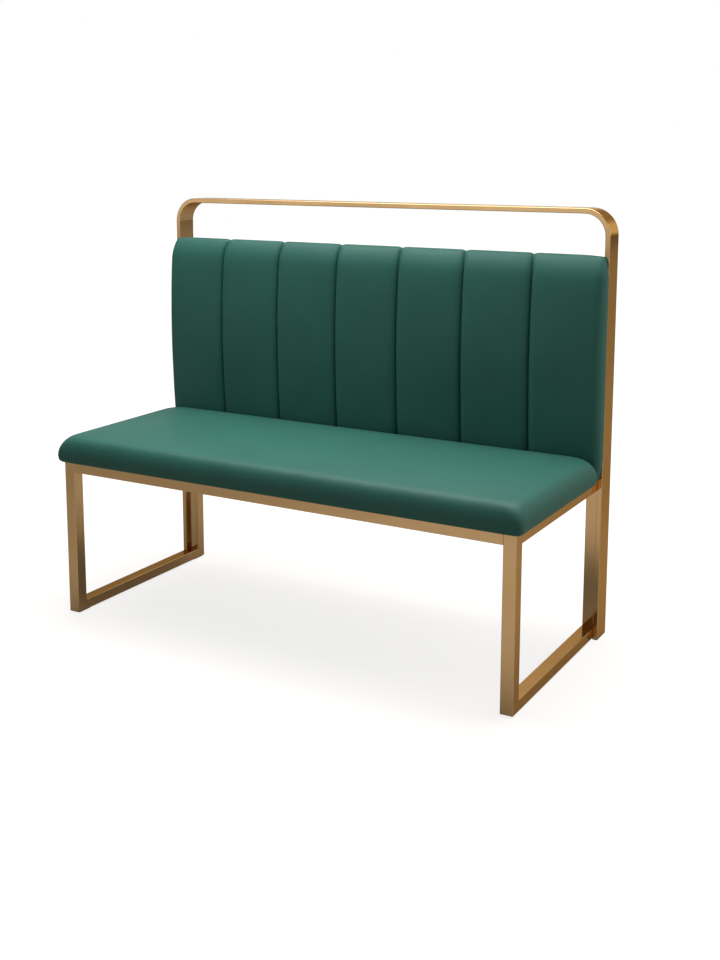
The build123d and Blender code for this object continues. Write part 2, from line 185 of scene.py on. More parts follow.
for name, place, aim, width, height, power in (
    ("soft_box_above", (-0.05, 0.14, 2.1), (0, 0.05, 0.4), 2.4, 1.3, 55),
    ("soft_box_right", (2.4, 0.4, 1.4), (0.5, 0, 0.4), 1.0, 1.4, 7),
):
    lamp_data = bpy.data.lights.new(name, "AREA")
    lamp_data.shape = "RECTANGLE"
    lamp_data.size = width
    lamp_data.size_y = height
    lamp_data.energy = power
    lamp = bpy.data.objects.new(name, lamp_data)
    lamp.location = place
    lamp.rotation_euler = (Vector(aim) - Vector(place)).to_track_quat("-Z", "Y").to_euler()
    bpy.context.scene.collection.objects.link(lamp)


# The welded base and the hoop: stainless steel tube, ground flush at its
# mitres, polished along its length and then gilt with titanium nitride. It is
# a warm mirror, a little waved, and barely duller in lines along each member.
def gilt_steel(run):
    """Gilt polished steel, with its lines along the axis or axes that a member runs along."""
    material, tree = blank_material("gilt_polished_steel_" + run)
    line_width = 1.1           # mm; the real lines are about 0.1, too fine to show
    line_length = 160          # mm
    wave_length = 55           # mm, of the tube's waves and of the gilt's patches
    scales = [1000 / line_length if axis in run else 1000 / line_width for axis in "xyz"]
    place = add_node(tree, "ShaderNodeTexCoord")
    stretch = add_node(tree, "ShaderNodeMapping", {"Scale": scales}, {"Vector": place.outputs["Object"]})
    lines = add_node(tree, "ShaderNodeTexNoise", {"Scale": 1, "Detail": 3},
                     {"Vector": stretch.outputs["Vector"]})
    waves = add_node(tree, "ShaderNodeTexNoise", {"Scale": 1000 / wave_length, "Detail": 2},
                     {"Vector": place.outputs["Object"]})
    gold = add_node(tree, "ShaderNodeMix",
                    {"data_type": "RGBA", 6: linear("#dab07b"), 7: linear("#e4be8c")},
                    {0: waves.outputs[0]})
    gloss = add_node(tree, "ShaderNodeMapRange",
                     {"From Min": 0.3, "From Max": 0.7, "To Min": 0.08, "To Max": 0.16},
                     {"Value": lines.outputs[0]})
    bump = add_node(tree, "ShaderNodeBump", {"Strength": 0.3, "Distance": 0.0004},
                    {"Height": waves.outputs[0]})
    metal = add_node(tree, "ShaderNodeBsdfPrincipled",
                     {"Metallic": 1, "Specular Tint": linear("#ebc79e")},
                     {"Base Color": gold.outputs[2], "Roughness": gloss.outputs[0],
                      "Normal": bump.outputs[0]})
    add_node(tree, "ShaderNodeOutputMaterial", links={"Surface": metal.outputs[0]})
    return material


def dress(names, material):
    """Gives CAD nodes a material, and leaves their meshes alone."""
    for name in names:
        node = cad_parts[name]
        for slot in node.material_slots:
            slot.link = "OBJECT"
            slot.material = material


gilt_along_x = gilt_steel("x")
gilt_along_y = gilt_steel("y")
gilt_along_z = gilt_steel("z")
dress(["front_rail", "rear_rail", "lower_crossbar", "upper_crossbar"], gilt_along_x)
dress(["left_runner", "right_runner", "left_side_rail", "right_side_rail"], gilt_along_y)
dress(["left_seat_bearer", "right_seat_bearer", "seat_tabs"], gilt_along_y)
dress(["left_front_leg", "left_rear_leg", "right_front_leg", "right_rear_leg"], gilt_along_z)
dress(["back_hoop", "frame_welds"], gilt_steel("xz"))


# Floor glides and hoop plugs: black nylon, injection moulded, with the faint
# uneven sheen that a moulded face has. The plugs close the hoop's ends.
nylon, tree = blank_material("moulded_black_nylon")
place = add_node(tree, "ShaderNodeTexCoord")
spark_width = 1.5              # mm, of the mould's spark-eroded texture, drawn coarse
grain = add_node(tree, "ShaderNodeTexNoise", {"Scale": 1000 / spark_width, "Detail": 2},
                 {"Vector": place.outputs["Object"]})
tone = add_node(tree, "ShaderNodeMix", {"data_type": "RGBA", 6: linear("#161616"), 7: linear("#242424")},
                {0: grain.outputs[0]})
bump = add_node(tree, "ShaderNodeBump", {"Strength": 0.2, "Distance": 0.0002},
                {"Height": grain.outputs[0]})
plastic = add_node(tree, "ShaderNodeBsdfPrincipled", {"Roughness": 0.45, "IOR": 1.53},
                   {"Base Color": tone.outputs[2], "Normal": bump.outputs[0]})
add_node(tree, "ShaderNodeOutputMaterial", links={"Surface": plastic.outputs[0]})
dress(["floor_glides", "left_hoop_plug", "right_hoop_plug"], nylon)


# Seat board and back board: birch plywood, sawn and left bare, because the
# covers hide them. It is matt and pale, with its grain along the bench.
plywood, tree = blank_material("bare_birch_plywood")
place = add_node(tree, "ShaderNodeTexCoord")
grain_length = 220             # mm
grain_width = 7                # mm
stretch = add_node(tree, "ShaderNodeMapping",
                   {"Scale": (1000 / grain_length, 1000 / grain_width, 1000 / grain_width)},
                   {"Vector": place.outputs["Object"]})
grain = add_node(tree, "ShaderNodeTexNoise", {"Scale": 1, "Detail": 4},
                 {"Vector": stretch.outputs["Vector"]})
tone = add_node(tree, "ShaderNodeMix", {"data_type": "RGBA", 6: linear("#b98f5e"), 7: linear("#dcbf92")},
                {0: grain.outputs[0]})
bump = add_node(tree, "ShaderNodeBump", {"Strength": 0.2, "Distance": 0.0004},
                {"Height": grain.outputs[0]})
wood = add_node(tree, "ShaderNodeBsdfPrincipled", {"Roughness": 0.65},
                {"Base Color": tone.outputs[2], "Normal": bump.outputs[0]})
add_node(tree, "ShaderNodeOutputMaterial", links={"Surface": wood.outputs[0]})
dress(["seat_board", "back_board"], plywood)


# Coach screws: zinc plated steel, cold headed, with a dull grey lustre.
# Four hold the seat through the tabs and four hold the back.
zinc, tree = blank_material("zinc_plated_steel")
place = add_node(tree, "ShaderNodeTexCoord")
frost_width = 2                # mm
frost = add_node(tree, "ShaderNodeTexNoise", {"Scale": 1000 / frost_width, "Detail": 3},
                 {"Vector": place.outputs["Object"]})
tone = add_node(tree, "ShaderNodeMix", {"data_type": "RGBA", 6: linear("#a9adb1"), 7: linear("#c9ccce")},
                {0: frost.outputs[0]})
gloss = add_node(tree, "ShaderNodeMapRange", {"To Min": 0.28, "To Max": 0.42},
                 {"Value": frost.outputs[0]})
metal = add_node(tree, "ShaderNodeBsdfPrincipled", {"Metallic": 1},
                 {"Base Color": tone.outputs[2], "Roughness": gloss.outputs[0]})
add_node(tree, "ShaderNodeOutputMaterial", links={"Surface": metal.outputs[0]})
dress(["seat_screws", "back_screws"], zinc)


# Seat foam: a slab of cream polyurethane foam, glued on the seat board and
# down round its edge, and trimmed round at the top. Its cut cells give it a
# matt, pitted face, which the cover hides.
mm = 0.001
seat_low, seat_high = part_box("seat_cover")
seat_board_low, seat_board_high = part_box("seat_board")
leather_thickness = 1 * mm
seat_half_length = (seat_high.x - seat_low.x) / 2
seat_half_depth = (seat_high.y - seat_low.y) / 2
seat_middle_y = (seat_low.y + seat_high.y) / 2
seat_crown = 7 * mm            # rise of the top above the shoulder
seat_shoulder_drop = 2 * mm    # top of the plain solid to the shoulder
seat_shoulder = seat_high.z - seat_low.z - seat_shoulder_drop
seat_fullest = 22 * mm         # up to the fullest part of the side
seat_edge_rounding = 30 * mm   # how far in the edge rounds over
seat_rear_share = 0.7          # of the edge rounding, along the rear
seat_crown_run = 100 * mm      # how far further in the crown goes on rising
seat_side_draw = 5 * mm        # how far the side draws in at its foot
seat_plan_corner = 33 * mm     # radius seen from above, where the edge rounding ends
seat_rear_corner_share = 1.4   # of the plan corner, at the rear
seat_foot_corner = 11 * mm     # along the bottom edge
corner_taper = 1.3             # how late the corner opens out, from its foot to the shoulder
inner_corner_ease = 4          # corner radius that a layer gains, for each depth it lies in
seat_flat_inset = 60 * mm      # side to the even grid on the top
seat_top_insets = (53 * mm, 46 * mm, 40 * mm, 35 * mm)   # rings between that grid and the rounding
rounding_steps = 8
seat_side_shares = (0.75, 0.5, 0.3, 0.16)   # of the height to the fullest part, for rings below it
corner_crowding = 0.5          # how much closer together the mesh's lines get at the corners
hand_height = 0.8 * mm         # how far hand work leaves a pad off its even form
seat_top_wave = 110 * mm
seat_side_wave = 70 * mm


def ease(share):
    """Rises from 0 to 1 and flattens out."""
    share = max(0.0, min(1.0, share))
    return 1 - (1 - share) ** 2


def unevenness(x, y, wave):
    """How far a pad lies above or below its even form, over waves of about this length."""
    return hand_height * noise.noise(Vector((x / wave, y / wave, 0.5)))


def rim_point(u, v, half_x, half_y, corner):
    """A point on a rounded rectangle, for a station on the rim of a square from -1 to 1."""
    def walk(share, along, across):
        straight = along - corner
        run = min(1.0, abs(share)) * (straight + corner * math.pi / 4)
        if run <= straight or corner == 0:
            return math.copysign(run, share), across
        turn = (run - straight) / corner
        return (math.copysign(straight + corner * math.sin(turn), share),
                across - corner * (1 - math.cos(turn)))
    if abs(v) >= abs(u):
        x, y = walk(u, half_x, half_y)
        return x, math.copysign(y, v)
    y, x = walk(v, half_y, half_x)
    return math.copysign(x, u), y


def rear_stretch(y, inset, depth_in):
    """Moves the rear half of a ring or of the grid back, so that the rounding is tighter there."""
    if y <= 0:
        return y
    rear_inset = depth_in + (inset - depth_in) * seat_rear_share
    return y * (seat_half_depth - rear_inset) / (seat_half_depth - inset)


def seat_top_height(x, y, depth_in):
    """The top's height above the pad's underside: the shoulder and its crown."""
    rise = seat_crown
    for inside, share in ((seat_half_length - abs(x), 1.0), (seat_half_depth + y, 1.0),
                          (seat_half_depth - y, seat_rear_share)):
        rise *= ease((inside / share - seat_edge_rounding) / seat_crown_run)
    return seat_shoulder + rise + unevenness(x, y, seat_top_wave) - depth_in


def seat_form(bm, depth_in, grid_step):
    """The seat pad's top, rounded edge and sides, moved in by a depth. Gives back its open rim."""
    flat_x = seat_half_length - seat_flat_inset
    flat_y = seat_half_depth - seat_flat_inset
    bmesh.ops.create_grid(bm, x_segments=round(2 * flat_x / grid_step),
                          y_segments=round(2 * flat_y / grid_step), size=1)
    station_u = bm.verts.layers.float.new("station_u")
    station_v = bm.verts.layers.float.new("station_v")
    for vert in bm.verts:
        vert[station_u], vert[station_v] = (
            place + corner_crowding * math.sin(math.pi * place) / math.pi for place in vert.co[:2])
        x, y = vert[station_u] * flat_x, rear_stretch(vert[station_v] * flat_y, seat_flat_inset, depth_in)
        vert.co = (x, seat_middle_y + y, seat_low.z + seat_top_height(x, y, depth_in))
    rings = [(inset, None) for inset in seat_top_insets]
    for step in range(rounding_steps + 1):
        turn = math.pi / 2 * (1 - step / rounding_steps)
        rings.append((seat_edge_rounding * (1 - math.cos(turn)) + depth_in * math.cos(turn),
                      seat_fullest + (seat_shoulder - seat_fullest - depth_in) * math.sin(turn)))
    for share in seat_side_shares:
        rings.append((seat_side_draw * (1 - share) ** 2 + depth_in,
                      depth_in + (seat_fullest - depth_in) * share))
    edges = [edge for edge in bm.edges if edge.is_boundary]
    for inset, up in rings:
        opening = (seat_flat_inset - inset) / (seat_flat_inset - seat_edge_rounding)
        corner = seat_plan_corner * min(1.0, opening)
        if up is not None:
            corner = seat_foot_corner + (corner - seat_foot_corner) * (up / seat_shoulder) ** corner_taper
            up += unevenness(inset, up, seat_side_wave) * up / seat_shoulder
        edges = next_ring(bm, edges, inset, up, corner + inner_corner_ease * depth_in, depth_in)
    return edges


def next_ring(bm, edges, inset, up, corner, depth_in=0.0):
    """Extrudes a pad's open rim, to a distance in from its side and up from its underside."""
    made = bmesh.ops.extrude_edge_only(bm, edges=edges)["geom"]
    station_u = bm.verts.layers.float["station_u"]
    station_v = bm.verts.layers.float["station_v"]
    for vert in (part for part in made if isinstance(part, bmesh.types.BMVert)):
        radius = corner
        if vert[station_v] > 0 and (up is None or up > seat_fullest):
            radius = seat_foot_corner + (corner - seat_foot_corner) * seat_rear_corner_share
        x, y = rim_point(vert[station_u], vert[station_v],
                         seat_half_length - inset, seat_half_depth - inset, radius)
        if up is None or up > seat_fullest:
            y = rear_stretch(y, inset, depth_in)
        height = seat_top_height(x, y, depth_in) if up is None else up
        vert.co = (x, seat_middle_y + y, seat_low.z + height)
    return [part for part in made if isinstance(part, bmesh.types.BMEdge)]


def close_rim(bm, edges):
    """Closes an open rim with one flat face and turns all faces outwards."""
    filled = bmesh.ops.edgeloop_fill(bm, edges=edges)["faces"]
    bmesh.ops.triangulate(bm, faces=filled, ngon_method="BEAUTY")
    bmesh.ops.recalc_face_normals(bm, faces=bm.faces)


def new_piece(name, bm, material, replaced=None):
    """A smooth-shaded piece from a bmesh, riding on the welded frame."""
    mesh = bpy.data.meshes.new(name)
    bm.to_mesh(mesh)
    bm.free()
    mesh.shade_smooth()
    mesh.materials.append(material)
    piece = bpy.data.objects.new(name, mesh)
    bpy.context.scene.collection.objects.link(piece)
    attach(piece, "root")
    if replaced:
        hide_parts(replaced)
    return piece


foam, tree = blank_material("cut_polyurethane_foam")
place = add_node(tree, "ShaderNodeTexCoord")
cell_width = 1.6               # mm; the real cells are about 0.6, too fine to show
cells = add_node(tree, "ShaderNodeTexVoronoi", {"Scale": 1000 / cell_width},
                 {"Vector": place.outputs["Object"]})
# Painted shade: the foam is coloured darker in the hollow of each cell, where its pits lie.
tone = add_node(tree, "ShaderNodeMix", {"data_type": "RGBA", 6: linear("#d9cc9c"), 7: linear("#f0e6c2")},
                {0: cells.outputs["Distance"]})
bump = add_node(tree, "ShaderNodeBump", {"Strength": 0.5, "Distance": 0.0005},
                {"Height": cells.outputs["Distance"]})
sponge = add_node(tree, "ShaderNodeBsdfPrincipled", {"Roughness": 0.95, "Sheen Weight": 0.2},
                  {"Base Color": tone.outputs[2], "Normal": bump.outputs[0]})
add_node(tree, "ShaderNodeOutputMaterial", links={"Surface": sponge.outputs[0]})

foam_gap = 1.3 * mm            # outside of the cover to the foam
board_gap = 0.3 * mm
seat_foam_step = 25 * mm       # between the mesh's lines
bm = bmesh.new()
rim = seat_form(bm, foam_gap, seat_foam_step)
board_inset = seat_half_length - (seat_board_high.x - seat_board_low.x) / 2 - board_gap
board_top = seat_board_high.z - seat_low.z + board_gap
rim = next_ring(bm, rim, board_inset, foam_gap, seat_foot_corner)
rim = next_ring(bm, rim, board_inset, board_top, seat_foot_corner)
close_rim(bm, rim)
seat_foam = new_piece("seat_foam_slab", bm, foam, "seat_foam")


# Seat cover: green upholstery leather, pulled taut over the foam and stapled
# under the board. The hide is coated and pressed with a fine grain, so that it
# has a low, soft sheen.
leather, tree = blank_material("green_coated_leather")
place = add_node(tree, "ShaderNodeTexCoord")
pebble_width = 1.8             # mm; the real pebbles are about 0.7, too fine to show
pore_width = 4                 # mm
cloud_width = 130              # mm, of the dye's darker and lighter places
pebbles = add_node(tree, "ShaderNodeTexVoronoi", {"Scale": 1000 / pebble_width},
                   {"Vector": place.outputs["Object"]})
pores = add_node(tree, "ShaderNodeTexNoise", {"Scale": 1000 / pore_width, "Detail": 4},
                 {"Vector": place.outputs["Object"]})
clouds = add_node(tree, "ShaderNodeTexNoise", {"Scale": 1000 / cloud_width, "Detail": 3},
                  {"Vector": place.outputs["Object"]})
tone = add_node(tree, "ShaderNodeMix", {"data_type": "RGBA", 6: linear("#265d53"), 7: linear("#2c685d")},
                {0: clouds.outputs[0]})
gloss = add_node(tree, "ShaderNodeMapRange",
                 {"From Min": 0.35, "From Max": 0.65, "To Min": 0.5, "To Max": 0.6},
                 {"Value": pores.outputs[0]})
grain_bump = add_node(tree, "ShaderNodeBump", {"Strength": 0.12, "Distance": 0.0003},
                      {"Height": pebbles.outputs["Distance"]})
soft_bump = add_node(tree, "ShaderNodeBump", {"Strength": 0.15, "Distance": 0.0006},
                     {"Height": pores.outputs[0], "Normal": grain_bump.outputs[0]})
skin = add_node(tree, "ShaderNodeBsdfPrincipled",
                {"Specular IOR Level": 0.32, "Sheen Weight": 0.03, "Sheen Roughness": 0.4},
                {"Base Color": tone.outputs[2], "Roughness": gloss.outputs[0],
                 "Normal": soft_bump.outputs[0]})
add_node(tree, "ShaderNodeOutputMaterial", links={"Surface": skin.outputs[0]})

seat_hem = 40 * mm
cut_slant = 0.2 * mm           # how far the hem's cut edge slants inwards
seat_cover_step = 10 * mm      # between the mesh's lines
foam_grip = 0.25               # how firmly the foam holds a cover between its seams
press_out = 3 * mm             # the most that a cover stands off its even form
press_frames = 20
seat_held_height = 8 * mm      # of the side, held firmly by the staples below it
seat_foot_rings = (            # in from the foot of the side, and up from the underside
    (0.6 * mm, 2.2 * mm), (2 * mm, 0.7 * mm), (4.2 * mm, 0), (7 * mm, 0))


def blow_up(piece, hold):
    """Presses a cover outwards from its foam by a cloth simulation, more where it is held less."""
    group = piece.vertex_groups.new(name="held")
    for vert in piece.data.vertices:
        group.add([vert.index], hold(vert.co), "REPLACE")
    cloth = piece.modifiers.new("cloth", "CLOTH")
    cloth.settings.quality = 4
    cloth.settings.mass = 0.4
    cloth.settings.vertex_group_mass = "held"
    cloth.settings.pin_stiffness = 1.0
    cloth.settings.use_pressure = True
    cloth.settings.uniform_pressure_force = 4
    cloth.settings.effector_weights.gravity = 0
    cloth.point_cache.frame_start = 1
    cloth.point_cache.frame_end = press_frames
    for frame_number in range(1, press_frames + 1):
        bpy.context.scene.frame_set(frame_number)
    graph = bpy.context.evaluated_depsgraph_get()
    moved = [vert.co.copy() for vert in piece.evaluated_get(graph).data.vertices]
    piece.modifiers.remove(cloth)
    bpy.context.scene.frame_set(1)
    verts = piece.data.vertices
    rises = [(target - vert.co).dot(vert.normal) for vert, target in zip(verts, moved)]
    pushes = [vert.normal * max(0.0, min(press_out, rise)) for vert, rise in zip(verts, rises)]
    for vert, push in zip(verts, pushes):
        vert.co += push


def subdivide(piece):
    """Rounds a piece off with one level of subdivision."""
    modifier = piece.modifiers.new("rounding", "SUBSURF")
    modifier.levels = 1
    modifier.render_levels = 1


def seat_hold(place):
    """How firmly the seat cover is held at a place: fully along its foot and hem."""
    return 1.0 if place.z < seat_low.z + seat_held_height else foam_grip


bm = bmesh.new()
rim = seat_form(bm, 0, seat_cover_step)
seat_hem_rings = ((seat_hem / 2, 0), (seat_hem, 0), (seat_hem + cut_slant, leather_thickness))
for inset, up in seat_foot_rings + seat_hem_rings:
    rim = next_ring(bm, rim, seat_side_draw + inset, up, seat_foot_corner)
close_rim(bm, rim)
seat_cover = new_piece("seat_leather", bm, leather, "seat_cover")
blow_up(seat_cover, seat_hold)
subdivide(seat_cover)


# Back foam: the same foam, cut to seven crowned channels in front of the back
# board and rounded over its edges. It is glued on, and the cover hides it.
back_low, back_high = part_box("back_cover")
back_rear = back_high.y
back_half_width = (back_high.x - back_low.x) / 2
back_height = back_high.z - back_low.z
channel_count = 7
channel_pitch = 2 * back_half_width / channel_count
channel_swell = 9 * mm         # crest of a channel above its seams
channel_rounding = 19 * mm     # seam to where the channel is nearly flat
rounding_share = 0.84          # of the swell, gained within that rounding
rounding_power = 2.6           # how steeply a channel leaves its seam
side_swell_share = 0.75        # of the swell, left at the pad's two sides
flat_relief_share = 0.3        # of the channels' relief, left where the pad has no thickness
edge_relief_share = 0.5        # of that, left at the rolled edges
seam_bite = 3.5 * mm           # how far the stitches pull the valley deeper
seam_bite_run = 4 * mm
seam_bite_power = 1.5          # how narrow the bite is where it is deepest
seam_thickness = 38 * mm       # rear to a seam, where the pad is fullest
side_rounding = 17 * mm
side_draw = 9 * mm             # how far the sides draw in at top and bottom
side_draw_run = 55 * mm
top_roll = 46 * mm             # height over which the top rolls back
bottom_roll = 12 * mm
top_edge_share = 0.13          # thickness left at the top edge, of the seam thickness
bottom_edge_share = 0.45
notch_depth = 4 * mm           # how far a seam pulls the top edge down
notch_run = 12 * mm
notch_fade = 80 * mm
top_swell = 3 * mm             # how far the top edge rises between the corners
top_swell_run = 60 * mm        # from a corner to the full rise
top_swell_power = 8            # how fast the rise fades further down
back_wave = 75 * mm
back_profile_shares = ((0.0, 0.62), (0.25, 0.88), (0.52, 1.0), (0.70, 0.94),
                       (0.86, 0.79), (0.945, 0.63), (1.0, 0.5))


def profile_share(at):
    """The pad's thickness at a seam, at a share of its height, before its ends round over."""
    points = back_profile_shares
    index = max(i for i in range(len(points) - 1) if points[i][0] <= at or i == 0)
    (start, low), (end, high) = points[index], points[index + 1]
    slopes = []
    for i in (index, index + 1):
        before, after = points[max(i - 1, 0)], points[min(i + 1, len(points) - 1)]
        slopes.append((after[1] - before[1]) / (after[0] - before[0]) * (end - start))
    t = (at - start) / (end - start)
    return ((2 * t ** 3 - 3 * t ** 2 + 1) * low + (t ** 3 - 2 * t ** 2 + t) * slopes[0]
            + (3 * t ** 2 - 2 * t ** 3) * high + (t ** 3 - t ** 2) * slopes[1])


def seam_gap(x):
    """How far a place lies from the nearest of the six seams."""
    index = round(x / channel_pitch + channel_count / 2)
    index = max(1, min(channel_count - 1, index))
    return abs(x - (index - channel_count / 2) * channel_pitch)


def back_form_point(x, up, depth_in):
    """A point of the pad's front, for a place along the bench and a height above its underside."""
    roll = 1.0
    end_share = 0.0
    if up > back_height - top_roll:
        roll = math.sqrt(max(0.0, 1 - ((up - back_height + top_roll) / top_roll) ** 2))
        end_share = top_edge_share
    elif up < bottom_roll:
        roll = math.sqrt(max(0.0, 1 - ((bottom_roll - up) / bottom_roll) ** 2))
        end_share = bottom_edge_share
    share = end_share + (profile_share(up / back_height) - end_share) * roll
    gap = seam_gap(x)
    side_gap = back_half_width - abs(x)
    rise = rounding_share * (1 - (1 - min(1.0, gap / channel_rounding)) ** rounding_power)
    rise += (1 - rounding_share) * ease(gap / (channel_pitch / 2))
    rise *= side_swell_share + (1 - side_swell_share) * ease(side_gap / (channel_pitch / 2))
    bite = seam_bite * max(0.0, 1 - gap / seam_bite_run) ** seam_bite_power
    relief = min(1.0, share + flat_relief_share) * (edge_relief_share + (1 - edge_relief_share) * roll)
    thickness = seam_thickness * share + (channel_swell * rise - bite) * relief
    thickness += unevenness(x, up, back_wave) * roll * rise
    if side_gap < side_rounding:
        half = thickness / 2
        thickness = half + half * math.sqrt(max(0.0, 1 - (1 - side_gap / side_rounding) ** 2))
    end_gap = min(up, back_height - up)
    draw = side_draw * max(0.0, 1 - end_gap / side_draw_run) ** 2
    inward = math.copysign(depth_in * max(0.0, 1 - side_gap / (channel_pitch / 2)), x)
    pull = notch_depth * max(0.0, 1 - gap / notch_run) ** 2
    pull *= ease(1 - (back_height - up) / notch_fade) if back_height - up < notch_fade else 0.0
    pull -= top_swell * ease(side_gap / top_swell_run) * (up / back_height) ** top_swell_power
    level = back_low.z + depth_in + (up - pull) * (back_height - 2 * depth_in) / back_height
    return Vector((x * (back_half_width - draw) / back_half_width - inward,
                   back_rear - max(thickness - depth_in, depth_in), level))


def shape_grid(bm, columns, rows, point):
    """A grid whose vertices a function places by column and row. Gives back its open rim."""
    bmesh.ops.create_grid(bm, x_segments=len(columns) - 1, y_segments=len(rows) - 1, size=1)
    for vert in bm.verts:
        column = round((vert.co.x + 1) / 2 * (len(columns) - 1))
        row = round((vert.co.y + 1) / 2 * (len(rows) - 1))
        vert.co = point(columns[column], rows[row])
    return [edge for edge in bm.edges if edge.is_boundary]


side_steps = 6                 # of the mesh, round each side
bottom_steps = 5
top_steps = 9
side_channel_stops = [stop * mm for stop in (17, 26, 40, 56, 73)]


def back_form(bm, depth_in, seam_stops, row_step):
    """The back pad's front, rolled over at its top and moved in by a depth. Gives back its open rim."""
    columns = []
    side_stops = [side_rounding * (1 - math.cos(math.pi / 2 * step / side_steps))
                  for step in range(side_steps)]
    side_stops += side_channel_stops
    for index in range(channel_count):
        left = -back_half_width + index * channel_pitch
        stops_left = side_stops if index == 0 else seam_stops
        stops_right = side_stops if index == channel_count - 1 else seam_stops
        columns += [left + stop for stop in stops_left]
        columns.append(left + channel_pitch / 2)
        columns += [left + channel_pitch - stop for stop in reversed(stops_right)][:-1]
    columns.append(back_half_width)
    rows = [bottom_roll * (1 - math.cos(math.pi / 2 * step / bottom_steps))
            for step in range(bottom_steps)]
    straight = back_height - top_roll - bottom_roll
    count = round(straight / row_step)
    rows += [bottom_roll + straight * step / count for step in range(count)]
    rows += [back_height - top_roll * (1 - math.sin(math.pi / 2 * step / top_steps))
             for step in range(top_steps + 1)]
    return shape_grid(bm, columns, rows, lambda x, up: back_form_point(x, up, depth_in))


def turn_back(bm, edges, rear, shares):
    """Extrudes the pad's rim back towards a rear plane, by shares of the way left."""
    for share in shares:
        made = bmesh.ops.extrude_edge_only(bm, edges=edges)["geom"]
        for vert in (part for part in made if isinstance(part, bmesh.types.BMVert)):
            vert.co.y += (rear - vert.co.y) * share
        edges = [part for part in made if isinstance(part, bmesh.types.BMEdge)]
    return edges


foam_seam_stops = [stop * mm for stop in (0, 5, 12, 24)]
back_foam_step = 26 * mm
bm = bmesh.new()
rim = back_form(bm, foam_gap, foam_seam_stops, back_foam_step)
rim = turn_back(bm, rim, back_rear - leather_thickness, (0.5, 1))
close_rim(bm, rim)
back_foam = new_piece("back_foam_slab", bm, foam, "back_foam")


# Back cover: the same leather, sewn in seven channels from the wrong side, so
# that each seam is a deep bare valley. It is stapled behind the back board.
back_hem = 30 * mm
hem_turn = 3 * mm              # how far in the leather turns tight round the rear edge
back_held_depth = 6 * mm       # of the sides, held firmly by the staples behind them
seam_held_width = 1 * mm       # to either side of a seam
cover_seam_stops = [stop * mm for stop in (0, 0.9, 2.2, 4.2, 7, 11, 16, 24, 38, 56, 73)]
back_cover_step = 9 * mm


def draw_in(bm, edges, distance, forward):
    """Extrudes the pad's rim inwards across its rear, and forward into the pad."""
    made = bmesh.ops.extrude_edge_only(bm, edges=edges)["geom"]
    middle = back_low.z + back_height / 2
    for vert in (part for part in made if isinstance(part, bmesh.types.BMVert)):
        vert.co.x *= (back_half_width - distance) / back_half_width
        vert.co.z = middle + (vert.co.z - middle) * (back_height / 2 - distance) / (back_height / 2)
        vert.co.y -= forward
    return [part for part in made if isinstance(part, bmesh.types.BMEdge)]


def back_hold(place):
    """How firmly the back cover is held at a place: fully along its seams, its edge and its hem."""
    held = place.y > back_rear - back_held_depth or seam_gap(place.x) < seam_held_width
    return 1.0 if held else foam_grip


bm = bmesh.new()
rim = back_form(bm, 0, cover_seam_stops, back_cover_step)
rim = turn_back(bm, rim, back_rear, (0.4, 0.55, 0.8, 1))
back_hem_rings = ((hem_turn, 0), (back_hem / 2, 0), (back_hem / 2, 0), (cut_slant, leather_thickness))
for distance, forward in back_hem_rings:
    rim = draw_in(bm, rim, distance, forward)
close_rim(bm, rim)
back_cover = new_piece("back_leather", bm, leather, "back_cover")
blow_up(back_cover, back_hold)
subdivide(back_cover)


# Back lining: the panel of the same leather that closes the back, its edge
# folded under inside the hem. It bears on the crossbars and is slack elsewhere.
def thicken(bm, shift):
    """Closes a sheet to a thin solid, by a shifted copy of all its faces."""
    made = bmesh.ops.extrude_face_region(bm, geom=bm.faces[:])["geom"]
    for vert in (part for part in made if isinstance(part, bmesh.types.BMVert)):
        vert.co += Vector(shift)
    bmesh.ops.recalc_face_normals(bm, faces=bm.faces)


def span(start, end, edge_stops, step):
    """Places from a start to an end: at the stops from both ends, and even between."""
    stop = edge_stops[-1]
    count = round((end - start - 2 * stop) / step)
    inner = [start + stop + (end - start - 2 * stop) * index / count for index in range(1, count)]
    last = [end - place for place in reversed(edge_stops)]
    return [start + place for place in edge_stops] + inner + last


lining_low, lining_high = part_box("back_lining")
lining_thickness = 0.45 * mm
lining_slack = 4.5 * mm
lining_run = 70 * mm           # from a held line to full slack
lining_held_width = 12 * mm    # in from each side, by the hem
bar_held_width = 6 * mm        # out from each crossbar
lining_fold = 0.5 * mm         # how far the folded edge rounds down to the hem
lining_fold_run = 3 * mm
lining_stops = [stop * mm for stop in (0, 1, 3, 12, 24)]
lining_step_along = 18 * mm
lining_step_up = 12 * mm
lower_bar_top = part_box("lower_crossbar")[1].z
upper_bar_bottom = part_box("upper_crossbar")[0].z


def lining_point(x, z):
    """A point of the lining's outer face."""
    edge = min(x - lining_low.x, lining_high.x - x, z - lining_low.z, lining_high.z - z)
    slack = lining_slack * ease((lining_high.x - abs(x) - lining_held_width) / lining_run)
    slack *= ease((min(z - lower_bar_top, upper_bar_bottom - z) - bar_held_width) / lining_run)
    fold = lining_fold * (1 - min(1.0, edge / lining_fold_run)) ** 2
    return Vector((x, lining_high.y - fold + slack, z))


bm = bmesh.new()
shape_grid(bm, span(lining_low.x, lining_high.x, lining_stops, lining_step_along),
           span(lining_low.z, lining_high.z, lining_stops, lining_step_up), lining_point)
thicken(bm, (0, -lining_thickness, 0))
new_piece("back_lining_leather", bm, leather, "back_lining")


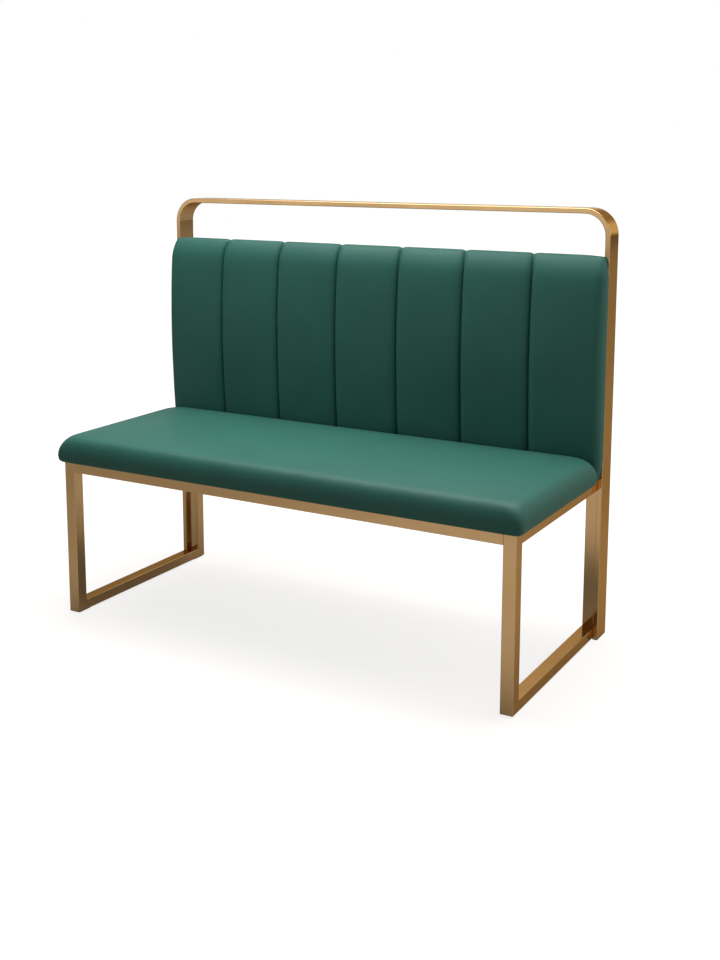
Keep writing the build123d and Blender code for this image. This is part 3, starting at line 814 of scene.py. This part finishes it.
# Seat dust cover: black non-woven cloth, dull and lightly furred, its edge folded
# under once and stapled to the seat board. It sags between the seat bearers.
black_cloth, tree = blank_material("black_nonwoven_cloth")
place = add_node(tree, "ShaderNodeTexCoord")
fibre_width = 1.2              # mm; the real fibres are about 0.03, too fine to show
bond_pitch = 2.2               # mm, between the dots that weld the fibres together
fibres = add_node(tree, "ShaderNodeTexNoise",
                  {"Scale": 1000 / fibre_width, "Detail": 3, "Distortion": 1.5},
                  {"Vector": place.outputs["Object"]})
bonds = add_node(tree, "ShaderNodeTexVoronoi", {"Scale": 1000 / bond_pitch, "Randomness": 0.15},
                 {"Vector": place.outputs["Object"]})
tone = add_node(tree, "ShaderNodeMix", {"data_type": "RGBA", 6: linear("#151515"), 7: linear("#2b2b2b")},
                {0: fibres.outputs[0]})
bump = add_node(tree, "ShaderNodeBump", {"Strength": 0.4, "Distance": 0.0003},
                {"Height": bonds.outputs["Distance"]})
felt = add_node(tree, "ShaderNodeBsdfPrincipled", {"Roughness": 0.9, "Sheen Weight": 0.3},
                {"Base Color": tone.outputs[2], "Normal": bump.outputs[0]})
add_node(tree, "ShaderNodeOutputMaterial", links={"Surface": felt.outputs[0]})

dust_low, dust_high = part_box("seat_dust_cover")
tabs_low, tabs_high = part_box("seat_tabs")
cloth_thickness = 0.33 * mm    # twice as much along the folded edge
cloth_gap = 0.04 * mm          # hem to cloth
fold_width = 14 * mm
dust_sag = 5 * mm
sag_run = 70 * mm
tab_reach = 36 * mm            # side to where the cloth is free of the seat tabs
bearer_held_width = 4 * mm     # out from each seat bearer
dust_stops = [stop * mm for stop in (0, 6, 13.8, 14.2, 36)]
dust_step = 15 * mm
bearer_boxes = [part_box(name) for name in ("left_seat_bearer", "right_seat_bearer")]


def dust_point(x, y):
    """A point of the dust cover's underside."""
    edge_x = min(x - dust_low.x, dust_high.x - x)
    edge_y = min(y - dust_low.y, dust_high.y - y)
    sag = dust_sag * ease((edge_x - tab_reach) / sag_run) * ease((edge_y - fold_width) / sag_run)
    for low, high in bearer_boxes:
        sag *= ease((max(low.x - x, x - high.x) - bearer_held_width) / sag_run)
    layers = 2 if min(edge_x, edge_y) < fold_width else 1
    return Vector((x, y, dust_high.z - cloth_gap - layers * cloth_thickness - sag))


bm = bmesh.new()
shape_grid(bm, span(dust_low.x, dust_high.x, dust_stops, dust_step),
           span(dust_low.y, dust_high.y, dust_stops, dust_step), dust_point)
thicken(bm, (0, 0, cloth_thickness))
new_piece("dust_cover_cloth", bm, black_cloth, "seat_dust_cover")


# Staples: fine galvanised wire, driven by hand through the dust cover's folded
# edge, each a little askew, and left out where the frame is in the way.
staple_crown = 10 * mm
staple_wire = 0.6 * mm
staple_pitch = 45 * mm
staple_edge = 7 * mm           # dust cover's edge to the staples
staple_clearance = 12 * mm     # from the frame, along the edge
staple_skew = 0.12             # radians, the most that one is askew
skew_change = 2.4              # radians of the sine that gives the skew, from one to the next


def drive_staple(bm, x, y, turn):
    """A staple under the dust cover: its crown, and the tops of its two legs."""
    low = dust_high.z - cloth_gap - 2 * cloth_thickness
    crown = Matrix.Translation((x, y, low - staple_wire / 2)) @ Matrix.Rotation(turn, 4, "Z")
    crown_size = Matrix.Diagonal((staple_crown, staple_wire, staple_wire, 1))
    bmesh.ops.create_cube(bm, size=1, matrix=crown @ crown_size)
    for side in (-1, 1):
        leg = crown @ Matrix.Translation((side * (staple_crown - staple_wire) / 2, 0, staple_wire))
        leg_size = Matrix.Diagonal((staple_wire, staple_wire, staple_wire, 1))
        bmesh.ops.create_cube(bm, size=1, matrix=leg @ leg_size)


bm = bmesh.new()
by_bearers = [(low.x, high.x) for low, high in bearer_boxes]
by_tabs = [(tabs_low.y, tabs_low.y + tab_reach), (tabs_high.y - tab_reach, tabs_high.y)]
for start, end, axis, blocked in (
    (dust_low.x + staple_edge, dust_high.x - staple_edge, 0, by_bearers),
    (dust_low.y + staple_edge, dust_high.y - staple_edge, 1, by_tabs),
):
    count = round((end - start) / staple_pitch)
    for index in range(1, count):
        along = start + (end - start) * index / count
        if any(low - staple_clearance < along < high + staple_clearance for low, high in blocked):
            continue
        for edge, other in ((dust_low, 1), (dust_high, -1)):
            turn = staple_skew * math.sin(skew_change * index + other) + axis * math.pi / 2
            across = edge[1 - axis] + other * staple_edge
            drive_staple(bm, *((along, across) if axis == 0 else (across, along)), turn)
staple_mesh = bpy.data.meshes.new("dust_cover_staples")
bm.to_mesh(staple_mesh)
bm.free()
staple_mesh.materials.append(zinc)
staples = bpy.data.objects.new("dust_cover_staples", staple_mesh)
bpy.context.scene.collection.objects.link(staples)
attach(staples, "root")
